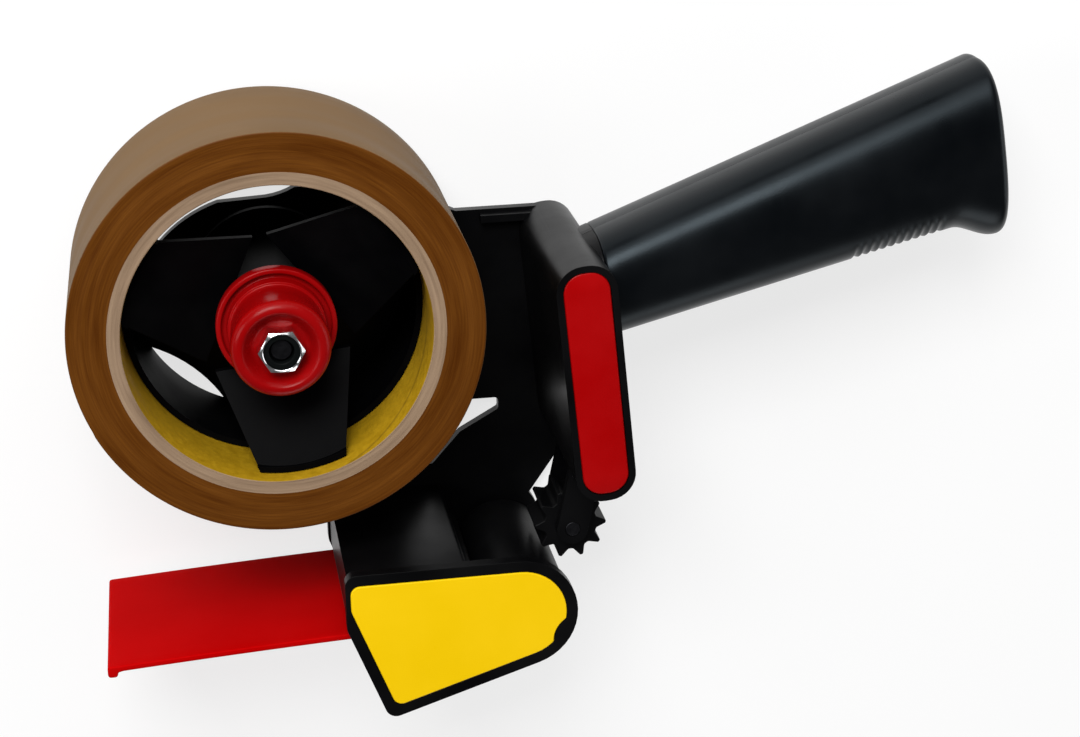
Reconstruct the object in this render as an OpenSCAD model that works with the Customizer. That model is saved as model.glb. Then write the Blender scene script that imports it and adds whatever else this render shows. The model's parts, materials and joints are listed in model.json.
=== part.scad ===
// Hand-held packing tape dispenser, lying on its side plate.
// The axle stands along +Z, and the origin is on its axis in the plane that the part rests on.

/* [Tape roll] */
// Width of the tape
tape_w = 50; // [40:1:75]
// Outer diameter of the roll
roll_d = 102.6; // [92:0.2:112]
// Inner diameter of the cardboard core
core_id = 76.2; // [72:0.1:80]
// Wall of the cardboard core
core_wall = 3.3; // [2:0.1:5]

/* [Side frame] */
// Thickness of the side plate
plate_t = 3; // [2.4:0.1:5]
// Free width between the tape's edge and each side of the frame
side_gap = 2; // [1.8:0.1:4]
// Radius of the plate's round end behind the hub
plate_end_r = 36; // [32:0.5:40]
// Middle of the plate's round end
plate_end_c = [-1, -14]; // [-20:0.5:20]
// Middle of the flat arc along the plate's top edge
crown_c = [11, -66.3]; // [-80:0.1:30]
// Radius of the hollow in the plate's lower edge
scallop_r = 38; // [30:1:50]
// Thickness of the moulded walls
wall_t = 2.4; // [1.8:0.1:3]
// Height of the axle boss above the plate
boss_h = 3.2; // [3:0.1:6]
// Radius of the axle boss
boss_r = 12; // [9:0.5:15]
// Distance from the roll to the tape window in the plate
window_gap = 3.7; // [2:0.1:6]
// First and last angle of the window's inner edge
window_angles = [-52, -46.5]; // [-60:0.5:-30]
// Reach of the tape window past the roll, from its lower end to its outer corner
window_reach = [20.7, 19, 23.5]; // [14:0.1:26]
// Height of the rib along the plate's top edge
rib_h = 3; // [1:0.1:4]

/* [Rear wall] */
// Width of the rear wall's rounded section
bar_w = 15.5; // [13:0.5:20]
// Length of the rear wall's section
bar_l = 63; // [55:0.5:75]
// Corner radius of the section
bar_corner = 7; // [3:0.5:7.5]
// Lean of the rear wall away from upright
bar_tilt = 5; // [0:0.5:10]
// Distance from the roll to the rear wall
bar_gap = 18.75; // [14:0.25:24]
// How far the rear wall's middle lies below the axle
bar_drop = 17; // [10:0.5:22]
// Black border left round the coloured insets
inset_border = 1.7; // [1:0.1:3]
// Depth of the recesses that hold the insets
inset_depth = 1.2; // [0.6:0.1:1.6]
// How far the insets stand proud of their border
inset_proud = 0.3; // [0:0.1:0.8]

/* [Head] */
// Distance of the head's front face from the axle
head_x = 12.5; // [8:0.5:18]
// Distance from the roll to the head's top edge
head_gap = 12; // [8:0.5:18]
// Length from the front face to the middle of the round nose
head_l = 44.9; // [40:0.1:52]
// Radius of the round nose
nose_r = 14.9; // [13.5:0.1:17]
// Slope of the sole from the nose down to the toe
sole_angle = 17.5; // [10:0.5:22]
// Height of the upright part of the front face
front_h = 15; // [13:0.5:18]
// How far the toe lies behind the front face
toe_x = 10; // [7:0.5:13]
// Thickness of the near cheek
cheek_t = 3.5; // [3:0.1:6]
// Corner radius of the cheeks
cheek_corner = 3; // [1:0.5:5]

/* [Rollers] */
// Radius of the application roller
roller_r = 12; // [10:0.1:13]
// Shift of the application roller from the nose's middle
roller_shift = [2.8, -3.4]; // [-5:0.1:5]
// Radius of the roller's steel axle
roller_axle_r = 3; // [2:0.1:4]
// Outer radius of the star wheel
star_r = 9.6; // [7:0.1:11]
// Depth of the star wheel's teeth
star_tooth = 2.4; // [1:0.1:3]
// Number of teeth on the star wheel
star_teeth = 10; // [8:1:14]
// Width of the star wheel
star_w = 14; // [8:0.5:20]
// Radius of the star wheel's pin
star_pin_r = 2; // [1.5:0.1:3]
// Gap between the star wheel and the application roller
nip_gap = 0.8; // [0.5:0.1:2]
// Direction of the star wheel as seen from the application roller
nip_angle = 49.4; // [40:0.2:56]

/* [Cutter and flap] */
// Thickness of the steel blade
blade_t = 0.8; // [0.5:0.1:1.2]
// How far the blade's teeth reach past the toe
blade_reach = 2.6; // [1.5:0.1:4]
// Depth of the blade's teeth
tooth_h = 1.6; // [0.8:0.1:2.4]
// Number of teeth on the blade
blade_teeth = 25; // [15:1:40]
// Thickness of the red flap
flap_t = 1.6; // [1:0.1:2.2]
// Length of the flap from its bead to its tip
flap_l = 64.8; // [45:0.2:80]
// Droop of the flap's tip below its root
flap_droop = 3.4; // [0:0.1:8]
// Radius of the round bead at the flap's root
bead_r = 1.8; // [1.4:0.1:2.4]
// Highest and lowest angle that the flap flexes to
flap_swing = [-25, 15]; // [-35:1:30]

/* [Handle] */
// Length of the handle
grip_l = 109; // [95:0.5:130]
// Slope of the handle
grip_angle = 17.6; // [10:0.2:30]
// Height of the handle where it leaves the rear wall
grip_root_h = 27.4; // [24:0.2:34]
// Height of the handle at its butt
grip_butt_h = 42.6; // [34:0.2:50]
// Thickness of the handle
grip_w = 32; // [26:0.5:38]
// How far the handle's middle lies above the rear wall's middle
grip_rise = 17.6; // [12:0.2:22]
// Depth of the finger lip under the butt
lip_drop = 5.5; // [0:0.5:9]
// Turn of the butt's end face against the root's
butt_rake = 4; // [0:0.5:8]
// Edge radius of the butt
butt_r = 3; // [2:0.5:6]
// Number of finger grooves under the handle
groove_count = 11; // [4:1:12]
// Spacing of the finger grooves
groove_pitch = 2.3; // [2:0.1:4]

/* [Hub and brake] */
// Width of a hub arm at the barrel
arm_root_w = 34; // [24:0.5:36]
// Width of a hub arm at its shoe
arm_tip_w = 21; // [14:0.5:26]
// Direction of the first hub arm
arm_angle = -83; // [-120:1:120]
// Radius of the hub's barrel
barrel_r = 13; // [12.5:0.1:15]
// Radius of the axle bolt
bolt_r = 3; // [2.5:0.1:3.5]
// Width across the flats of the bolt's head and of the brake nut
hex_af = 10; // [8.5:0.1:12]
// Radius of the brake knob's flange
knob_flange_r = 15; // [13.5:0.1:18]
// Radius of the brake knob's cap
knob_cap_r = 12.3; // [11:0.1:13]
// Height of the brake knob
knob_h = 22; // [18:0.1:25]
// Wire diameter of the brake spring
wire_d = 1.2; // [0.8:0.1:1.6]
// Turns of the brake spring
spring_turns = 5; // [4:1:6]
// Length of the brake spring
spring_l = 15.5; // [12:0.5:17]
// Travel of the brake knob to each side of its middle
knob_travel = 2; // [1:0.1:2]

/* [Fits] */
// Radial clearance of a turning fit
run_fit = 0.06; // [0.02:0.01:0.1]
// Clearance between pieces that are fixed to each other
fixed_fit = 0.1; // [0.05:0.01:0.2]
// Clearance between the hub's shoes and the core
core_fit = 0.3; // [0.3:0.05:0.6]
// End clearance beside a turning piece
end_gap = 0.3; // [0.2:0.05:0.6]

/* [Hidden] */
$fn = 64;
eps = 0.5;

// Colours of the pieces
black = "#141416";
red = "#c40d12";
yellow = "#f2c81a";
steel = "#b9bcc0";

// Levels along the axle
inner_w = tape_w + 2 * side_gap;
cheek_z = plate_t + inner_w;
top_z = cheek_z + cheek_t;
roll_z = plate_t + side_gap;
roll_r = roll_d / 2;
mid_z = top_z / 2;

// Rear wall and handle places
bar_c = [roll_r + bar_gap + bar_w / 2, -bar_drop];
bar_up = [-sin(bar_tilt), cos(bar_tilt)];
bar_out = [cos(bar_tilt), sin(bar_tilt)];
bar_foot = bar_c - (bar_l / 2 - bar_w / 2) * bar_up;
grip_c = bar_c + (bar_w / 2 + fixed_fit) * bar_out + grip_rise * bar_up;
grip_along = [cos(grip_angle), sin(grip_angle)];
rib_w = 2;
rib_inset = roll_r + 6;
plate_top = bar_c.y + bar_l / 2 - 0.5;

// Head places
head_top = -(roll_r + head_gap);
nose_c = [head_x + head_l, head_top - nose_r];
knee = [head_x, head_top - front_h];
sole_n = [sin(sole_angle), -cos(sole_angle)];
function sole_y(x) = nose_c.y - (nose_r - (x - nose_c.x) * sole_n.x) / cos(sole_angle);
toe = [head_x + toe_x, sole_y(head_x + toe_x)];
front_dir = unit(toe - knee);
front_n = [-front_dir.y, front_dir.x];
front_turn = atan2(front_dir.y, front_dir.x);
toe_s = norm(toe - knee);
edge_in = 0.6;
bead_in = 4.9;
bead_drop = 3.5;
bead_c = [head_x + bead_in, knee.y - bead_drop];
socket_r = bead_r + run_fit + 1.9;
flap_bow = 0.25;
guide_l = 30;
post_r = 4;
post_places = [[head_x + 9, head_top - 9.5], [head_x + 29, head_top - 28.5], [head_x + 31, head_top - 9.5]];

// Roller places
roller_c = nose_c + roller_shift;
star_c = roller_c + (roller_r + star_r + nip_gap) * [cos(nip_angle), sin(nip_angle)];
axle_boss_h = 2;
axle_sink = 1.8;
ear_t = 3;
ear_r = 4.2;

// Tongue that the handle halves clamp, and the stations along the handle
tongue_t = 10;
tongue_h = 17;
tongue_l = 44;
lip_l = 15;
grip_wall = 2.6;
groove_u = grip_l - lip_l - 3.5;
groove_r = 0.95;
groove_depth = 0.6;
grip_screw_u = [14, 34, grip_l - lip_l - butt_r];
grip_stations = concat([0, grip_l * 0.35, grip_l * 0.65],
    [for (i = [0:6]) grip_l - lip_l + (lip_l - butt_r) * i / 6],
    [for (a = [30, 55, 75, 90]) grip_l - butt_r + butt_r * sin(a)]);
hollow_stations = [grip_wall, grip_l * 0.35, grip_l * 0.65, grip_l - lip_l, grip_l - butt_r - 1];

// Blade and clamp, measured along the sloping front from the knee
blade_y = edge_in + wall_t;
blade_z = plate_t + side_gap;
clamp_t = 2.2;
clamp_s = [13, 21];
blade_screw_z = [plate_t + inner_w * 0.25, plate_t + inner_w * 0.75];

// Screw sizes
screw_r = 1.45;
screw_hole_r = screw_r + run_fit;
screw_head_r = 2.9;
screw_head_h = 1.5;
grip_screw_r = 1.7;
grip_head_r = 3.6;
grip_head_h = 2.4;

// Hub and brake levels
washer_t = 1;
head_h = 4;
hub_z = plate_t + boss_h + washer_t;
shoe_r = core_id / 2 - core_fit;
shoe_t = 1.5;
arm_t = 2.2;
rim_h = 30;
hub_disc_r = 20;
shoe_short = 5;
shoe_end_z = roll_z + tape_w - shoe_short;
face_drop = 3;
lip_t = side_gap - 2 * end_gap;
pocket_r = 9.8;
pocket_floor_t = 18.8;
pocket_z = hub_z + pocket_floor_t;
spring_z = pocket_z + washer_t;
thrust_z = spring_z + spring_l;
knob_z = thrust_z + washer_t;
barrel_end_z = knob_z - knob_travel - 0.7;
knob_top_z = knob_z + knob_h;
nut_h = 5.2;
nut_proud = 1.5;
nut_z = knob_top_z + nut_proud - nut_h;
bolt_top_z = nut_z + nut_h - 2.4;
spring_r = pocket_r - 0.8 - wire_d / 2;

// Unit vector along v
function unit(v) = v / norm(v);
// Angle brought into the range from -180 to 180
function wrapped(a) = a - 360 * floor((a + 180) / 360);
// Arc of radius r that rounds the corner b between a and c
function corner_arc(a, b, c, r, n = 8) =
    let(u = unit(a - b), v = unit(c - b), half = acos(u * v) / 2)
    let(m = b + unit(u + v) * r / sin(half), first = b + u * r / tan(half) - m)
    let(last = b + v * r / tan(half) - m, a0 = atan2(first.y, first.x))
    let(sweep = wrapped(atan2(last.y, last.x) - a0))
    [for (i = [0:n]) m + r * [cos(a0 + sweep * i / n), sin(a0 + sweep * i / n)]];
// Direction of the tangent point on a circle of radius r about the origin, from the point p
function tangent_turn(p, r, side) = atan2(p.y, p.x) + side * acos(r / norm(p));
function on_circle(r, a) = r * [cos(a), sin(a)];

// Point where the line n1 * p = d1 crosses the line n2 * p = d2
function crossing(n1, d1, n2, d2) =
    let(det = n1.x * n2.y - n1.y * n2.x)
    [(d1 * n2.y - n1.y * d2) / det, (n1.x * d2 - d1 * n2.x) / det];

// Cheek outline, drawn in by an inset, and by its own amount along the upright front
function cheek_outline(inset, corner, front_inset) =
    let(r = nose_r - inset, left = head_x + front_inset, top = head_top - inset)
    let(slope_d = front_n * knee + inset)
    let(foot = crossing(front_n, slope_d, sole_n, sole_n * nose_c + r))
    let(bend = crossing(front_n, slope_d, [1, 0], left))
    let(sole_end = nose_c + r * sole_n, crown = [nose_c.x, top])
    concat(
        [for (i = [0:20]) nose_c + on_circle(r, 90 - (180 - sole_angle) * i / 20)],
        corner_arc(sole_end, foot, bend, max(corner, 0.3)),
        corner_arc(foot, bend, [left, top], 4),
        corner_arc(bend, [left, top], crown, max(corner, 0.3)));

module rear_wall_section(inset) {
    r = bar_corner - min(inset, bar_corner - 1);
    w = bar_w / 2 - inset;
    l = bar_l / 2 - inset;
    corners = [[w, -l], [w, l], [-w, l], [-w, -l]];
    translate(bar_c)
        rotate(bar_tilt)
            polygon([for (i = [0:3])
                for (p = corner_arc(corners[(i + 3) % 4], corners[i], corners[(i + 1) % 4], r)) p]);
}

// Tape window: an arc beside the roll, a lower edge that bends once, and a blunt outer end
module window_section() {
    first = window_angles[0];
    last = window_angles[1];
    inner_r = roll_r + window_gap;
    turns = [-54.8, -44.4, -35.3];
    end_h = 3.3;
    lower = [for (i = [0:2]) on_circle(roll_r + window_reach[i], turns[i])];
    top = [lower[2].x, lower[2].y + end_h];
    corner = 1;
    offset(r = corner)
        offset(delta = -corner)
            polygon(concat(lower, [top],
                [for (i = [0:6]) on_circle(inner_r, last + (first - last) * i / 6)]));
}

module plate_section() {
    wall_top = bar_c + (bar_l / 2 - bar_corner / 2) * bar_up;
    shoulder = [wall_top.x - bar_w / 2 - bar_gap + rib_w, plate_top];
    front_top = [head_x + cheek_corner, head_top - cheek_corner];
    crown_r = plate_end_r + norm(plate_end_c - crown_c);
    crown_join = plate_end_c + plate_end_r * unit(plate_end_c - crown_c);
    low_turn = tangent_turn(front_top - plate_end_c, plate_end_r, -1);
    low_tangent = plate_end_c + on_circle(plate_end_r, low_turn);
    scallop_turn = 229;
    scallop_depth = 5.6;
    end_top = plate_end_c + [0, plate_end_r];
    dip_r = 20;
    dip_l = 29;
    dip_depth = [1.1, 2.5];
    wall_heel = bar_foot + bar_w / 2 * unit([1, -0.35]);
    nose_back = nose_c + on_circle(nose_r - 0.05, 38);
    difference() {
        union() {
            translate(plate_end_c)
                circle(r = plate_end_r);
            intersection() {
                translate(crown_c)
                    circle(r = crown_r);
                polygon([crown_join, crown_join + [0, plate_end_r], wall_top + [0, plate_end_r], wall_top,
                    plate_end_c]);
            }
            polygon([plate_end_c, shoulder, [wall_top.x, plate_top], wall_heel, nose_back, nose_c, front_top,
                low_tangent]);
            polygon(cheek_outline(0, cheek_corner, 0));
            rear_wall_section(0);
        }
        window_section();
        translate(on_circle(scallop_r + core_id / 2 - scallop_depth, scallop_turn))
            circle(r = scallop_r);
        hull() {
            translate(end_top + [0, dip_r - dip_depth[0]])
                circle(r = dip_r);
            translate(end_top + [-dip_l, dip_r - dip_depth[1]])
                circle(r = dip_r);
        }
    }
}

// Strip of the rib that stiffens the plate's top edge beside the rear wall
module top_rib() {
    translate([rib_inset, plate_top - rib_w - 1, plate_t - eps])
        cube([bar_c.x - rib_inset, rib_w, rib_h + eps]);
}

// Hollows that core the rear wall out from the far side, with cross ribs between them
module rear_wall_cells() {
    cells = 4;
    cell_l = (bar_l - 2 * wall_t - (cells - 1) * wall_t) / cells;
    intersection() {
        translate([0, 0, -eps])
            linear_extrude(top_z - inset_depth - wall_t + eps)
                rear_wall_section(wall_t);
        for (i = [0:cells - 1])
            translate(concat(bar_c, 0))
                rotate([0, 0, bar_tilt])
                    translate([-bar_w, -bar_l / 2 + wall_t + i * (cell_l + wall_t), -eps])
                        cube([2 * bar_w, cell_l, top_z]);
    }
}

// Ears under the rear wall that carry the star wheel
module star_ears() {
    root = bar_foot + [0.25, 0];
    root_half = 4.25;
    side = [ear_r, 0];
    for (z = [mid_z - star_w / 2 - end_gap - ear_t, mid_z + star_w / 2 + end_gap])
        translate([0, 0, z])
            linear_extrude(ear_t) {
                polygon([root - [root_half, 0], star_c - side, star_c + side, root + [root_half, 0]]);
                translate(star_c)
                    circle(r = ear_r);
            }
}

// Wall section along the sloping front, measured from the knee
module front_strip(s0, s1, y0, y1) {
    translate(knee)
        rotate(front_turn)
            translate([s0, y0])
                square([s1 - s0, y1 - y0]);
}

module head_walls() {
    guide_y = head_top - 1;
    translate([0, 0, plate_t - eps])
        linear_extrude(inner_w + eps) {
            translate([head_x + edge_in, knee.y])
                square([wall_t, guide_y - knee.y]);
            translate([head_x + edge_in, guide_y - wall_t])
                square([guide_l, wall_t]);
            translate([head_x + edge_in + guide_l, guide_y - wall_t / 2])
                circle(d = wall_t);
            translate(bead_c)
                circle(r = socket_r);
            front_strip(0, toe_s - 4, edge_in, edge_in + wall_t);
            for (p = post_places)
                translate(p)
                    circle(r = post_r);
        }
    translate(concat(roller_c, plate_t - eps))
        cylinder(r = roller_axle_r + wall_t, h = axle_boss_h + eps);
}

// Groove and mouth that the flap's bead turns in
module flap_groove() {
    high = 180 + flap_swing[0];
    low = 183 + flap_swing[1];
    clear = flap_t / 2 + end_gap;
    reach = socket_r + 6;
    up = on_circle(clear, high - 90);
    down = on_circle(clear, low + 90);
    translate(concat(bead_c, plate_t))
        linear_extrude(inner_w + eps) {
            circle(r = bead_r + run_fit);
            polygon([up, up + on_circle(reach, high), down + on_circle(reach, low), down]);
        }
}

module hex_prism(af, h) {
    cylinder(d = af / cos(30), h = h, $fn = 6);
}

// Tongue on the rear wall that the two handle halves clamp
module grip_tongue() {
    translate(concat(grip_c, mid_z - tongue_t / 2))
        rotate([0, 0, grip_angle])
            translate([-wall_t, -tongue_h / 2, 0])
                cube([tongue_l + wall_t, tongue_h, tongue_t]);
}

// Point on the handle's mid plane, u along it and v across it
function grip_turn(u) = 90 + bar_tilt + butt_rake * u / grip_l;
function grip_point(u, v) = grip_c + u * grip_along + v * on_circle(1, grip_turn(u));

module blade_place() {
    translate(concat(knee, 0))
        rotate([0, 0, front_turn])
            children();
}

// Holes for the blade's screws, square to the sloping front
module blade_holes(y0, y1) {
    for (z = blade_screw_z)
        translate([(clamp_s[0] + clamp_s[1]) / 2, y0, z])
            rotate([-90, 0, 0])
                cylinder(r = screw_hole_r, h = y1 - y0);
}

module side_frame() {
    color(black)
        difference() {
            union() {
                linear_extrude(plate_t)
                    plate_section();
                cylinder(r = boss_r, h = plate_t + boss_h);
                linear_extrude(top_z)
                    rear_wall_section(0);
                top_rib();
                star_ears();
                head_walls();
                grip_tongue();
                grip_collar();
            }
            translate([0, 0, -eps])
                cylinder(r = bolt_r + fixed_fit, h = plate_t + boss_h + 2 * eps);
            translate([0, 0, -eps])
                hex_prism(hex_af + 2 * fixed_fit, head_h + eps);
            translate([0, 0, top_z - inset_depth])
                linear_extrude(inset_depth + eps)
                    rear_wall_section(inset_border);
            for (p = post_places)
                translate(concat(p, cheek_z - 12))
                    cylinder(r = screw_hole_r, h = 12 + eps);
            translate(concat(roller_c, plate_t - axle_sink))
                cylinder(r = roller_axle_r + run_fit, h = axle_sink + axle_boss_h + eps);
            translate(concat(star_c, plate_t))
                cylinder(r = star_pin_r + run_fit, h = inner_w);
            flap_groove();
            rear_wall_cells();
            for (u = [grip_screw_u[0], grip_screw_u[1]])
                translate(concat(grip_point(u, 0), mid_z - tongue_t))
                    cylinder(r = grip_screw_r + 0.3, h = 2 * tongue_t);
            blade_place()
                blade_holes(0, blade_y + eps);
        }
}

module near_cheek() {
    color(black)
        translate([0, 0, cheek_z])
            difference() {
                union() {
                    linear_extrude(cheek_t)
                        polygon(cheek_outline(0, cheek_corner, 0));
                    translate(concat(roller_c, -axle_boss_h))
                        cylinder(r = roller_axle_r + wall_t, h = axle_boss_h + eps);
                }
                translate([0, 0, cheek_t - inset_depth])
                    linear_extrude(inset_depth + eps)
                        cheek_inset_section(0);
                translate(concat(roller_c, -axle_boss_h - eps))
                    cylinder(r = roller_axle_r + run_fit, h = axle_boss_h + axle_sink + eps);
                for (p = post_places) {
                    translate(concat(p, -eps))
                        cylinder(r = screw_hole_r, h = cheek_t);
                    translate(concat(p, cheek_t - inset_depth - screw_head_h))
                        cylinder(r = screw_head_r + fixed_fit, h = screw_head_h + eps);
                }
            }
}

// Face of the near cheek's inset, with a small notch behind the nose
module cheek_inset_section(inset) {
    border = inset_border + 1.2 + inset;
    front_border = 1.2 + inset;
    notch_r = 7;
    difference() {
        polygon(cheek_outline(border, cheek_corner - 0.5, front_border));
        translate(nose_c + on_circle(nose_r - border + notch_r - 1.4 - inset, -28))
            circle(r = notch_r);
    }
}

module cheek_inset() {
    color(yellow)
        translate([0, 0, top_z - inset_depth])
            linear_extrude(inset_depth + inset_proud)
                cheek_inset_section(fixed_fit);
}

module cheek_screws() {
    color(steel)
        for (p = post_places)
            translate(concat(p, top_z - inset_depth - screw_head_h)) {
                cylinder(r = screw_head_r, h = screw_head_h);
                translate([0, 0, -8])
                    cylinder(r = screw_r, h = 8);
            }
}

module rear_wall_inset() {
    color(red)
        translate([0, 0, top_z - inset_depth])
            linear_extrude(inset_depth + inset_proud)
                rear_wall_section(inset_border + fixed_fit);
}

// Half height of the handle, and how much its edge draws in towards the butt
function grip_half_h(u) = (grip_root_h + (grip_butt_h - grip_root_h) * u / grip_l) / 2;
function butt_inset(u) = butt_r - sqrt(max(0, butt_r ^ 2 - max(0, u - grip_l + butt_r) ^ 2));
function eased(t) = let(c = min(max(t, 0), 1)) c * c * (3 - 2 * c);
function lip(u) = lip_drop * eased((u - grip_l + lip_l) / (lip_l - butt_r));
// Outline of one half section, a flattened round, drawn in by an inset
function grip_ring(u, inset, past, n = 14) =
    let(h = grip_half_h(u) - inset - butt_inset(u), w = grip_w / 2 - inset - butt_inset(u))
    let(low = h + (inset == 0 ? lip(u) : 0), power = 0.72)
    let(half = [for (i = [0:n]) let(a = -90 + 180 * i / n)
        [(a < 0 ? low : h) * sign(a) * pow(abs(sin(a)), power), w * pow(abs(cos(a)), power)]])
    let(ring = past > 0 ? concat([[-low, -past]], half, [[h, -past]]) : half)
    [for (p = ring) concat(grip_point(u, p[0]), mid_z + p[1])];

// Solid through a row of rings that all have the same count of points
module loft(rings) {
    n = len(rings[0]);
    last = len(rings) - 1;
    sides = [for (i = [0:last - 1]) for (k = [0:n - 1])
        let(a = i * n + k, b = i * n + (k + 1) % n)
        each [[a, b, a + n], [b, b + n, a + n]]];
    caps = [[for (k = [n - 1:-1:0]) k], [for (k = [0:n - 1]) last * n + k]];
    polyhedron([for (ring = rings) each ring], concat(sides, caps));
}

// Stub on the rear wall that carries the handle's section on over the wall's round edge
module grip_collar() {
    stations = [-bar_corner - wall_t, -2 * fixed_fit];
    for (half = [0, 1])
        translate([0, 0, 2 * mid_z * half])
            mirror([0, 0, half])
                loft([for (u = stations) grip_ring(u, 0, 1)]);
}

// Near half of the handle's shell; the far half is its mirror image
module grip_shell() {
    difference() {
        union() {
            difference() {
                loft([for (u = grip_stations) grip_ring(u, 0, 0)]);
                loft([for (u = hollow_stations) grip_ring(u, grip_wall, 1)]);
            }
            for (i = [0:2])
                translate(concat(grip_point(grip_screw_u[i], 0), mid_z + (i < 2 ? tongue_t / 2 : 0)))
                    cylinder(r = grip_head_r + 1, h = grip_w / 2 - (i < 2 ? tongue_t / 2 : 0) - 2);
        }
        translate(concat(grip_c, mid_z - eps))
            rotate([0, 0, grip_angle])
                translate([-wall_t, -tongue_h / 2 - fixed_fit, 0])
                    cube([grip_wall + 2 * wall_t, tongue_h + 2 * fixed_fit, tongue_t / 2 + fixed_fit + eps]);
        for (i = [0:groove_count - 1])
            let(u = groove_u - i * groove_pitch, p = grip_point(u, -grip_half_h(u) - groove_r + groove_depth))
                translate(concat(p, mid_z - eps))
                    cylinder(r = groove_r, h = grip_w, $fn = 24);
    }
}

module handle_near_half() {
    color(black)
        difference() {
            grip_shell();
            for (u = grip_screw_u)
                translate(concat(grip_point(u, 0), mid_z - eps))
                    cylinder(r = grip_screw_r + run_fit, h = grip_w / 2 - 4 + eps);
        }
}

module handle_far_half() {
    color(black)
        difference() {
            translate([0, 0, 2 * mid_z])
                mirror([0, 0, 1])
                    grip_shell();
            for (u = grip_screw_u) {
                translate(concat(grip_point(u, 0), mid_z - grip_w))
                    cylinder(r = grip_screw_r + 0.3, h = 2 * grip_w);
                translate(concat(grip_point(u, 0), mid_z - grip_w))
                    cylinder(r = grip_head_r + 0.4, h = grip_w / 2 + 3);
            }
        }
}

module handle_screws() {
    color(steel)
        for (u = grip_screw_u)
            translate(concat(grip_point(u, 0), mid_z - grip_w / 2 + 3 - grip_head_h)) {
                cylinder(r = grip_head_r, h = grip_head_h);
                cylinder(r = grip_screw_r, h = grip_head_h + grip_w - 10);
            }
}

module application_roller() {
    z0 = plate_t + axle_boss_h + end_gap;
    h = inner_w - 2 * axle_boss_h - 2 * end_gap;
    tube_t = 2.4;
    spokes = 6;
    color(black)
        translate(concat(roller_c, z0))
            difference() {
                union() {
                    difference() {
                        cylinder(r = roller_r, h = h);
                        translate([0, 0, -eps])
                            cylinder(r = roller_r - tube_t, h = h + 2 * eps);
                    }
                    cylinder(r = roller_axle_r + 2, h = h);
                    for (i = [0:spokes - 1])
                        rotate(i * 360 / spokes)
                            translate([roller_axle_r + 1, -0.8, 1])
                                cube([roller_r - tube_t / 2 - roller_axle_r - 1, 1.6, h - 2]);
                }
                translate([0, 0, -eps])
                    cylinder(r = roller_axle_r + run_fit, h = h + 2 * eps);
            }
}

module roller_axle() {
    color(steel)
        translate(concat(roller_c, plate_t - axle_sink))
            cylinder(r = roller_axle_r, h = inner_w + 2 * axle_sink);
}

module star_wheel() {
    step = 360 / star_teeth;
    color(black)
        translate(concat(star_c, mid_z - star_w / 2))
            difference() {
                linear_extrude(star_w)
                    polygon([for (i = [0:star_teeth - 1])
                        each [on_circle(star_r, step * (i - 0.07)), on_circle(star_r, step * (i + 0.07)),
                            on_circle(star_r - star_tooth, step * (i + 0.36)),
                            on_circle(star_r - star_tooth, step * (i + 0.64))]]);
                translate([0, 0, -eps])
                    cylinder(r = star_pin_r + run_fit, h = star_w + 2 * eps);
            }
}

module star_wheel_pin() {
    l = star_w + 2 * end_gap + 2 * ear_t;
    color(steel)
        translate(concat(star_c, mid_z - l / 2))
            cylinder(r = star_pin_r, h = l);
}

module cutter_blade() {
    pitch = tape_w / blade_teeth;
    tip = toe_s + blade_reach;
    color(steel)
        blade_place()
            difference() {
                translate([0, blade_y + blade_t, blade_z])
                    rotate([90, 0, 0])
                        linear_extrude(blade_t)
                            polygon(concat([[clamp_s[0] - 1, 0]],
                                [for (i = [0:blade_teeth - 1])
                                    each [[tip - tooth_h, i * pitch], [tip, (i + 0.5) * pitch]]],
                                [[tip - tooth_h, tape_w], [clamp_s[0] - 1, tape_w]]));
                blade_holes(blade_y - eps, blade_y + blade_t + eps);
            }
}

module blade_clamp() {
    color(steel)
        blade_place()
            difference() {
                translate([clamp_s[0], blade_y + blade_t, blade_z])
                    cube([clamp_s[1] - clamp_s[0], clamp_t, tape_w]);
                blade_holes(blade_y, blade_y + blade_t + clamp_t + eps);
            }
}

module blade_screws() {
    seat = blade_y + blade_t + clamp_t;
    color(steel)
        blade_place()
            for (z = blade_screw_z)
                translate([(clamp_s[0] + clamp_s[1]) / 2, edge_in + 0.2, z])
                    rotate([-90, 0, 0]) {
                        cylinder(r = screw_r, h = seat - edge_in - 0.2);
                        translate([0, 0, seat - edge_in - 0.2])
                            cylinder(r = screw_head_r, h = screw_head_h);
                    }
}

// Middle line of the flap: it droops straight from the bead, and bows a little towards the tip
function flap_line(t) = bead_c - [flap_l * t, flap_droop * t * (1 - flap_bow + flap_bow * t)];
module wiper_flap() {
    steps = 12;
    half = flap_t / 2;
    lip_h = 1.4;
    tip = flap_line(1);
    root_z = plate_t + end_gap;
    root_l = inner_w - 2 * end_gap;
    color(red) {
        translate([0, 0, root_z])
            linear_extrude(root_l) {
                translate(bead_c)
                    circle(r = bead_r);
                polygon(concat([for (i = [0:steps]) flap_line(i / steps) + [0, half]],
                    [for (i = [steps:-1:0]) flap_line(i / steps) - [0, half]]));
                translate(tip - [half, lip_h + half])
                    square([flap_t * 1.6, lip_h + flap_t]);
            }
    }
}

module axle_bolt() {
    color(steel) {
        hex_prism(hex_af, head_h);
        cylinder(r = bolt_r, h = bolt_top_z);
    }
}

module washer(outer, z) {
    translate([0, 0, z])
        difference() {
            cylinder(r = outer, h = washer_t);
            translate([0, 0, -eps])
                cylinder(r = bolt_r + run_fit, h = washer_t + 2 * eps);
        }
}

module friction_washer() {
    color("#7a5a3a")
        washer(boss_r - 1, plate_t + boss_h);
}

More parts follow.
